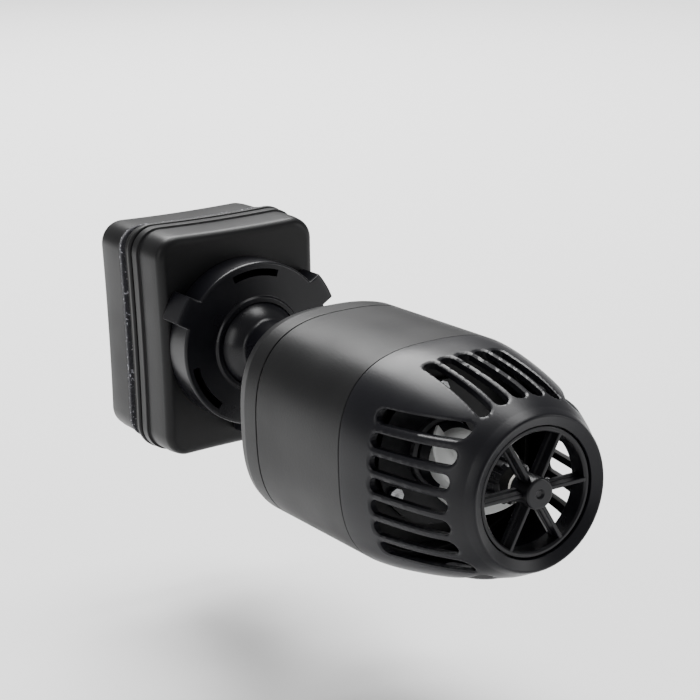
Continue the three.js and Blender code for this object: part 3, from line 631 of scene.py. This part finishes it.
headShape = {"power": 2.8, "count": 288}
housingLow, housingHigh = span("motor_housing")
headWide = (housingHigh[0] - housingLow[0]) / 2
headTall = (housingHigh[2] - housingLow[2]) / 2
headZ = (housingHigh[2] + housingLow[2]) / 2
headT = evenAngles(headWide, headTall, headShape["power"], headShape["count"])


# rings of the head's section from a profile of (inset, y)
def headBody(profile, loop=False):
    rings = []
    for inset, y in profile:
        x, z = superPoint(headT, headWide - inset, headTall - inset, headShape["power"])
        rings.append(np.stack([x, np.full(len(x), y), z + headZ], -1))
    return stacked(rings, loop)


cageLow, cageHigh = span("cage")
seamTwo = cageHigh[1] + 0.15
capLow, capHigh = span("rear_cap")
seamOne = housingHigh[1] + 0.15

capRows = np.concatenate(
    [
        softened(
            [(7.5, capHigh[1], 0), (2.6, capHigh[1], 1.6), (0.55, capHigh[1] - 1.9, 2.2),
             (0.0, capHigh[1] - 5.0, 3.0), (0.0, seamOne + 0.15, 0.22), (2.4, seamOne + 0.15, 0)],
            steps=8,
        ),
        [[2.5, capLow[1]], [5.2, capLow[1]]],
    ]
)
makePiece(
    "rearCapShell", [headBody(capRows)], "pump_head", ["rear_cap"],
    materials["satin_black"],
)

bulkhead = seamTwo + 0.15
housingRows = softened(
    [
        (2.2, bulkhead + 2.2, 0), (2.2, seamOne - 0.15, 0.2), (0.0, seamOne - 0.15, 0.28),
        (0.0, bulkhead, 0.28), (2.5, bulkhead, 0), (2.8, bulkhead - 4, 0.3),
        (4.3, bulkhead - 4, 0.3),
        (4.3, bulkhead, 0),
    ],
    steps=5,
)
makePiece(
    "housingShell", [headBody(housingRows)], "pump_head", ["motor_housing"],
    materials["satin_black"],
)
print("head shells made")


# ---- cage

cageShape = {
    "wall": 1.7, "mouth": 17.95, "seat": 15.5, "slotHigh": 3.5, "slotLong": 23.2,
    "slotStart": 10.2, "sidePitch": 5.25, "topPitch": 4.8, "softEdge": 0.42,
    "stations": (0, 6, 12, 21, 29.5, 34.3, 38, 40.8),
    "narrowWide": (0, 0.6, 1.5, 2.8, 4.5, 5.9, 7.3, 8.8),
    "narrowTall": (0, 0.4, 1.1, 2.35, 4.0, 5.35, 6.7, 8.2),
    "powers": (2.8, 2.78, 2.7, 2.5, 2.28, 2.12, 2.0, 2.0),
}


def buildCage():
    shape = cageShape
    back, nose = cageHigh[1], cageLow[1]
    stretch = (seamTwo - nose) / 43.0
    stations = np.array(shape["stations"], float)
    fitWide = np.polyfit(stations, shape["narrowWide"], 4)
    fitTall = np.polyfit(stations, shape["narrowTall"], 4)
    fitPower = np.polyfit(stations, shape["powers"], 4)

    def section(y):
        s = np.clip((back - y) / stretch, 0, 40.8)
        wide = headWide - np.maximum(np.polyval(fitWide, s), 0)
        tall = headTall - np.maximum(np.polyval(fitTall, s), 0)
        return wide, tall, np.maximum(np.polyval(fitPower, s), 2.0)

    # outer rows by station, then the lip's profile, then inner rows back to the seam
    outerY = np.concatenate([[back], np.arange(back - 0.3, back - 40.4 * stretch, -0.42)])
    rowCount = len(outerY)
    colCount = 384
    t = evenAngles(headWide - 3, headTall - 3, 2.5, colCount)
    y = outerY[:, None] * np.ones(colCount)
    wide, tall, power = section(y)
    x, z = superPoint(t[None, :], wide, tall, power)

    slots = []
    middleY = back - shape["slotStart"] - shape["slotLong"] / 2
    for side in (1, -1):
        slots += [(0, side, i * shape["sidePitch"]) for i in range(-3, 4)]
        slots += [(1, side, i * shape["topPitch"]) for i in range(-2, 3)]
    halfHigh = shape["slotHigh"] / 2
    run = shape["slotLong"] / 2 - halfHigh

    # signed distance to each slot's stadium, seen along the way it is cut
    def distances(x, y, z):
        found = []
        for kind, side, place in slots:
            across, facing = (z - place, x * side) if kind == 0 else (x - place, z * side)
            along = y - middleY
            beyond = along - np.clip(along, -run, run)
            gapTo = np.hypot(beyond, across) - halfHigh
            found.append(np.where(facing > 6, gapTo, 99.0))
        found = np.stack(found, -1)
        return found.min(-1), found.argmin(-1)

    # moves marked points onto the nearest slot's edge, then back onto the outer surface
    def snapTo(x, y, z, which, marked, clear=0.0):
        kinds = np.array([s[0] for s in slots])[which]
        places = np.array([s[2] for s in slots])[which]
        across = np.where(kinds == 0, z, x) - places
        along = y - middleY
        core = np.clip(along, -run, run)
        length = np.maximum(np.hypot(along - core, across), 1e-6)
        newY = np.where(marked, middleY + core + (along - core) / length * (halfHigh + clear), y)
        newAcross = places + across / length * (halfHigh + clear)
        wide, tall, power = section(newY)
        leftOfTall = np.maximum(1 - (np.abs(newAcross) / tall) ** power, 0)
        leftOfWide = np.maximum(1 - (np.abs(newAcross) / wide) ** power, 0)
        sideX = np.sign(x) * wide * leftOfTall ** (1 / power)
        topZ = np.sign(z) * tall * leftOfWide ** (1 / power)
        newX = np.where(marked, np.where(kinds == 0, sideX, newAcross), x)
        newZ = np.where(marked, np.where(kinds == 0, newAcross, topZ), z)
        return newX, newY, newZ

    distance, which = distances(x, y, z)
    x, y, z = snapTo(x, y, z, which, np.abs(distance) < 0.24)
    distance, which = distances(x, y, z)
    nextCol = lambda a: np.roll(a, -1, axis=1)
    faceLow = np.minimum(
        np.minimum(distance[:-1], distance[1:]),
        np.minimum(nextCol(distance)[:-1], nextCol(distance)[1:]),
    )
    gone = faceLow < -0.02
    padded = np.zeros((rowCount + 1, colCount), bool)
    padded[1:-1] = gone
    turnedPad = np.roll(padded, 1, 1)
    around = np.stack([padded[1:], padded[:-1], turnedPad[1:], turnedPad[:-1]])
    edgePoint = around.any(0) & ~around.all(0)
    x, y, z = snapTo(x, y, z, which, edgePoint)
    distance = np.where(edgePoint, 0.0, distance)
    # the next points out line up where the edge's rounding starts
    nearEdge = ~edgePoint & (distance > 0) & (distance < 1.45 * shape["softEdge"])
    x, y, z = snapTo(x, y, z, which, nearEdge, shape["softEdge"])
    distance = np.where(nearEdge, shape["softEdge"], distance)

    # outward normal from the gradient of (|x|/a)^n + (|z|/b)^n
    def level(x, y, z):
        wide, tall, power = section(y)
        return (np.abs(x) / wide) ** power + (np.abs(z) / tall) ** power

    h = 0.02
    normal = np.stack(
        [
            level(x + h, y, z) - level(x - h, y, z),
            level(x, y + h, z) - level(x, y - h, z),
            level(x, y, z + h) - level(x, y, z - h),
        ],
        -1,
    )
    normal /= np.linalg.norm(normal, axis=-1, keepdims=True)
    kinds = np.array([s[0] for s in slots])[which]
    straight = np.where(
        (kinds == 0)[..., None],
        np.stack([np.sign(x), 0 * x, 0 * x], -1),
        np.stack([0 * x, 0 * x, np.sign(z)], -1),
    )
    ease = np.clip(distance / 2.6, 0, 1)[..., None]
    ease = ease * ease * (3 - 2 * ease)
    way = straight * (1 - ease) + normal * ease
    way[..., 1] *= ease[..., 0]
    way /= np.linalg.norm(way, axis=-1, keepdims=True)
    thick = shape["wall"] / np.maximum((way * normal).sum(-1), 0.5)
    outer = np.stack([x, y, z], -1)
    inner = outer - way * thick[..., None]
    # edge rounding: drop = r - sqrt(r^2 - (r - d)^2) for a point d from the slot
    r = shape["softEdge"]
    d = np.clip(distance, 0, r)
    outer = outer - way * (r - np.sqrt(np.maximum(r * r - (r - d) ** 2, 0)))[..., None] * 0.8

    innerRows = int(np.sum(outerY > nose + 6.2))
    lip = softened(
        [
            (shape["mouth"] + 0.62, nose + 0.75, 0), (shape["mouth"] + 0.05, nose, 0.5),
            (shape["seat"], nose + 1.3, 0.25), (shape["seat"], nose + 3.6, 0.2),
            (shape["seat"] + 2.6, nose + 3.6, 0.4), (shape["seat"] + 3.4, nose + 4.6, 0),
        ],
        steps=7,
    )
    lipX, lipZ = superPoint(t[None, :], lip[:, 0][:, None], lip[:, 0][:, None], 2.0)
    lipRows = np.stack([lipX, lip[:, 1][:, None] * np.ones(colCount), lipZ], -1)
    rows = np.concatenate([outer, lipRows, inner[:innerRows][::-1]])
    rows[..., 2] += headZ
    rowsTotal = len(rows)
    points = rows.reshape(-1, 3)
    kept = np.ones((rowsTotal, colCount), bool)
    kept[: rowCount - 1] = ~gone
    innerBase = rowCount + len(lip)
    # the face between rows k and k + 1 outside faces the one between the same rows inside
    k = np.arange(innerRows - 1)
    kept[innerBase + innerRows - 2 - k] = ~gone[k]
    quads = gridQuads(rowsTotal, colCount, wrapRows=True)[kept.reshape(-1)]

    def innerOf(row):
        return innerBase + innerRows - 1 - row

    walls = []
    a = gone[: innerRows - 1]
    right = np.roll(a, -1, axis=1)
    for here, other, flip in ((~a & right, "col", False), (a & ~right, "col", True)):
        row, col = np.where(here)
        c2 = (col + 1) % colCount
        quad = [(row + 1) * colCount + c2, row * colCount + c2,
                innerOf(row) * colCount + c2, innerOf(row + 1) * colCount + c2]
        walls.append(np.stack(quad[::-1] if flip else quad, -1))
    for here, flip in ((~a[:-1] & a[1:], False), (a[:-1] & ~a[1:], True)):
        row, col = np.where(here)
        c2 = (col + 1) % colCount
        edge = row + 1
        quad = [edge * colCount + col, edge * colCount + c2,
                innerOf(edge) * colCount + c2, innerOf(edge) * colCount + col]
        walls.append(np.stack(quad[::-1] if flip else quad, -1))
    quads = np.concatenate([quads, *walls])
    used = np.unique(quads)
    renumber = np.zeros(len(points), int)
    renumber[used] = np.arange(len(used))
    return [(points[used], renumber[quads], None)]


makePiece(
    "cageShell", buildCage(), "pump_head", ["cage"], materials["cage_plastic"]
)
print("cage made")


# ---- grille ring

grilleShape = {
    "seat": 15.2, "throat": 13.9, "boss": 3.7, "spokeHalf": 1.0, "ribHalf": 0.5, "spokes": 6,
}


def buildGrille():
    shape = grilleShape
    low, high = span("nose_ring")
    nose = cageLow[1]
    front = nose + 1.7
    flange = nose + 3.9
    ringRows = softened(
        [
            (shape["seat"], front, 0.3), (shape["seat"], flange, 0),
            (shape["seat"] + 1.8, flange, 0.2),
            (shape["seat"] + 1.8, flange + 1.2, 0.2), (shape["throat"] + 0.7, flange + 2.4, 0.3),
            (shape["throat"] - 0.2, flange + 2.4, 0.3), (shape["throat"], front + 0.4, 0.5),
            (shape["throat"] + 0.5, front, 0.2),
        ],
        closed=True,
    )
    parts = [turnedBody(ringRows, 144, (0.0, headZ), loop=True)]
    bossRows = softened(
        [
            (0.0, low[1] + 0.55, 0), (0.75, low[1] + 0.5, 0.2), (1.2, low[1], 0.25),
            (shape["boss"], low[1], 0.6), (shape["boss"], low[1] + 6.4, 0.3),
            (0.0, low[1] + 6.4, 0),
        ],
        steps=6,
    )
    parts.append(turnedBody(bossRows, 72, (0.0, headZ)))
    # a spoke's T section, as (across, y), carried out along its radius
    w, rib = shape["spokeHalf"], shape["ribHalf"]
    section = softened(
        [
            (-w, front + 3.6, 0.2), (-w, front + 2.4, 0.25), (-rib - 0.05, front + 2.1, 0.3),
            (-rib, front + 0.1, 0.25), (rib, front + 0.1, 0.25), (rib + 0.05, front + 2.1, 0.3),
            (w, front + 2.4, 0.25), (w, front + 3.6, 0.2),
        ],
        steps=4,
        closed=True,
    )
    reach = np.linspace(shape["boss"] - 1.2, shape["throat"] + 0.6, 6)
    for i in range(shape["spokes"]):
        angle = i / shape["spokes"] * tau
        out = np.array([math.cos(angle), 0, math.sin(angle)])
        side = np.array([-math.sin(angle), 0, math.cos(angle)])
        rings = [
            out * r + side * section[:, :1] + np.array([0, 1, 0]) * section[:, 1:]
            + np.array([0, 0, headZ])
            for r in reach
        ]
        parts.append(stacked(rings))
    return parts


makePiece(
    "grilleRing", buildGrille(), "pump_head", ["nose_ring"],
    materials["gloss_black"],
)


# ---- drive hub and propeller

hubShape = {"core": 4.9, "bore": 1.62, "spigot": 2.9, "collar": 8.2, "ribs": 12, "ribRise": 0.5,
            "ribDepth": 0.75, "clear": 0.3}


def buildHub():
    shape = hubShape
    low, high = span("drive_hub")
    propLow, propHigh = span("propeller")
    core, bore, collar, spigot = shape["core"], shape["bore"], shape["collar"], shape["spigot"]
    crestRadius, start = core + shape["ribRise"], propHigh[1] + shape["clear"]
    nose = propLow[1] - shape["clear"]
    rows = softened(
        [
            (bore, low[1], 0), (core - 0.6, low[1], 0.5), (crestRadius, low[1] + 1.0, 0.3),
            (crestRadius, nose, 0.2), (core, nose, 0.1), (core, start, 0),
            (core + 1.6, start, 0.4), (collar, start + 2.0, 0.4), (collar, start + 3.0, 0.3),
            (spigot, start + 3.0, 0), (spigot, high[1], 0), (bore, high[1], 0),
        ],
        steps=4,
    )

    # ribs: the front part's radius drops between the crests, r - depth (1 - crest)
    def ribs(radius, y, t):
        crest = np.clip(np.cos(t * shape["ribs"]) * 1.6 + 0.5, 0, 1)
        isFront = (radius > core + 0.05) & (y < nose + 0.2)
        return np.where(isFront, radius - shape["ribDepth"] * (1 - crest), radius)

    return [turnedBody(rows, 240, (0.0, headZ), loop=True, swell=ribs)]


makePiece("driveHub", buildHub(), "rotor", ["drive_hub"], materials["gloss_black"])

propShape = {"sleeve": 7.2, "bore": 5.2, "tip": 12.5, "blades": 3, "turn": 1.25, "thick": 0.9}


def buildPropeller():
    shape = propShape
    low, high = span("propeller")
    sleeveRows = softened(
        [
            (shape["bore"], low[1], 0.2), (shape["sleeve"], low[1], 0.4),
            (shape["sleeve"], high[1], 0.4), (shape["bore"], high[1], 0.2),
        ],
        closed=True,
    )
    parts = [turnedBody(sleeveRows, 96, (0.0, headZ), loop=True)]
    u = np.linspace(0, 1, 25)
    for b in range(shape["blades"]):
        turn = b / shape["blades"] * tau + shape["turn"] * u
        # tip radius R (0.82 + 0.18 sin(pi u)), the blade's two faces a steady thickness apart
        tip = shape["tip"] * (0.82 + 0.18 * np.sin(np.pi * u))
        v = np.linspace(0, 1, 9)
        root = shape["sleeve"] - 0.6
        radius = root + v[None, :] * (tip[:, None] - shape["sleeve"] + 0.6 - 0.35)
        edge = tip[:, None]
        half = shape["thick"] * (1 - 0.35 * v)[None, :]
        faceOne = np.concatenate([radius, edge], 1)
        offOne = np.concatenate([half * np.ones_like(radius), 0 * edge], 1)
        r = np.concatenate([faceOne, radius[:, ::-1]], 1)
        off = np.concatenate([offOne, -(half * np.ones_like(radius))[:, ::-1]], 1)
        a = turn[:, None] + off / r
        y = (high[1] - 0.6 - u * (high[1] - low[1] - 1.2))[:, None] * np.ones_like(r)
        rings = np.stack([r * np.cos(a), y, r * np.sin(a) + headZ], -1)
        parts.append(stacked(rings))
    return parts


makePiece("propellerBlades", buildPropeller(), "propeller", ["propeller"],
          materials["white_plastic"])


# ---- cord gland

glandShape = {
    "bore": 1.7, "spigot": 3.0, "body": 3.8, "collar": 4.2, "flutes": 8, "fluteDepth": 0.22,
}


def buildGland():
    shape = glandShape
    bore, spigot, body, collar = (shape[k] for k in ("bore", "spigot", "body", "collar"))
    low, high = span("cable_gland")
    z = (low[2] + high[2]) / 2
    rows = softened(
        [
            (bore, high[1], 0.2), (spigot, high[1], 0.5), (body - 0.1, high[1] - 2.2, 0.4),
            (body, low[1] + 8.0, 0.3), (collar, low[1] + 7.4, 0.3), (collar, capHigh[1] + 0.3, 0.2),
            (spigot, capHigh[1] + 0.3, 0), (spigot, low[1], 0), (bore, low[1], 0),
        ],
        steps=5,
        closed=True,
    )

    # grip flutes round the collar: r - depth cos^2(n t)
    def flutes(radius, y, t):
        return np.where(
            radius > 3.4, radius - shape["fluteDepth"] * np.cos(shape["flutes"] * t) ** 2, radius
        )

    return [turnedBody(rows, 160, (0.0, z), loop=True, swell=flutes)]


makePiece("cordGland", buildGland(), "pump_head", ["cable_gland"], materials["rubber"])
print("all pieces made")


# ---- stage, light and camera

stageShape = {"floorDrop": 0.045, "size": 3.0}
floorZ = cadBounds[0][2] - stageShape["floorDrop"]
floorMesh = bpy.data.meshes.new("paleFloor")
half = stageShape["size"]
floorMesh.from_pydata(
    [(-half, -half, floorZ), (half, -half, floorZ), (half, half, floorZ), (-half, half, floorZ)],
    [], [(0, 1, 2, 3)],
)
floor = bpy.data.objects.new("paleFloor", floorMesh)
bpy.context.scene.collection.objects.link(floor)
floorMaterial, floorTree, floorShader = newMaterial("paleFloor")
floorShader.inputs["Base Color"].default_value = (0.9, 0.9, 0.9, 1)
floorShader.inputs["Roughness"].default_value = 0.9
floorMesh.materials.append(floorMaterial)

world = bpy.data.worlds.new("studio")
bpy.context.scene.world = world
world.use_nodes = True
world.node_tree.nodes["Background"].inputs["Color"].default_value = (1, 1, 1, 1)
world.node_tree.nodes["Background"].inputs["Strength"].default_value = 0.36


# an area light at a place, aimed at a point
def softLight(name, place, aim, size, power):
    light = bpy.data.lights.new(name, "AREA")
    light.energy = power
    light.shape = "RECTANGLE"
    light.size, light.size_y = size
    lamp = bpy.data.objects.new(name, light)
    lamp.location = place
    lamp.rotation_euler = (Vector(aim) - Vector(place)).to_track_quat("-Z", "Y").to_euler()
    bpy.context.scene.collection.objects.link(lamp)


target = (0, -0.08, -0.005)
softLight("topBox", (-0.1, 0.3, 1.2), target, (0.35, 0.35), 5)
softLight("leftBox", (-0.85, -0.1, 0.3), target, (0.2, 0.6), 1.7)
softLight("noseBox", (0.75, -0.75, 0.25), (0, -0.15, -0.008), (0.15, 0.5), 2.4)
softLight("floorFar", (0.5, 1.2, 1.5), (0.4, 0.9, 0), (1.2, 1.2), 75)
softLight("floorNear", (0.4, 0.0, 1.5), (0.4, 0.3, 0), (0.6, 0.6), 14)

cameraShape = {
    "place": (-0.2499, -0.4704, 0.1374), "azimuth": 32.26, "elevation": 15.43, "roll": -1.95,
    "focal": 1930.0,
}
cameraData = bpy.data.cameras.new("camera")
cameraData.sensor_width = 36
cameraData.lens = cameraShape["focal"] * 36 / 700
cameraData.clip_start = 0.01
camera = bpy.data.objects.new("camera", cameraData)
az, el, roll = (math.radians(cameraShape[k]) for k in ("azimuth", "elevation", "roll"))
forward = Vector((math.sin(az) * math.cos(el), math.cos(az) * math.cos(el), -math.sin(el)))
right = Vector((math.cos(az), -math.sin(az), 0))
up = right.cross(forward)
right, up = (
    right * math.cos(roll) + up * math.sin(roll),
    up * math.cos(roll) - right * math.sin(roll),
)
camera.matrix_world = Matrix(
    (
        (right.x, up.x, -forward.x, cameraShape["place"][0]),
        (right.y, up.y, -forward.y, cameraShape["place"][1]),
        (right.z, up.z, -forward.z, cameraShape["place"][2]),
        (0, 0, 0, 1),
    )
)
bpy.context.scene.collection.objects.link(camera)
bpy.context.scene.camera = camera

print("stage ready")
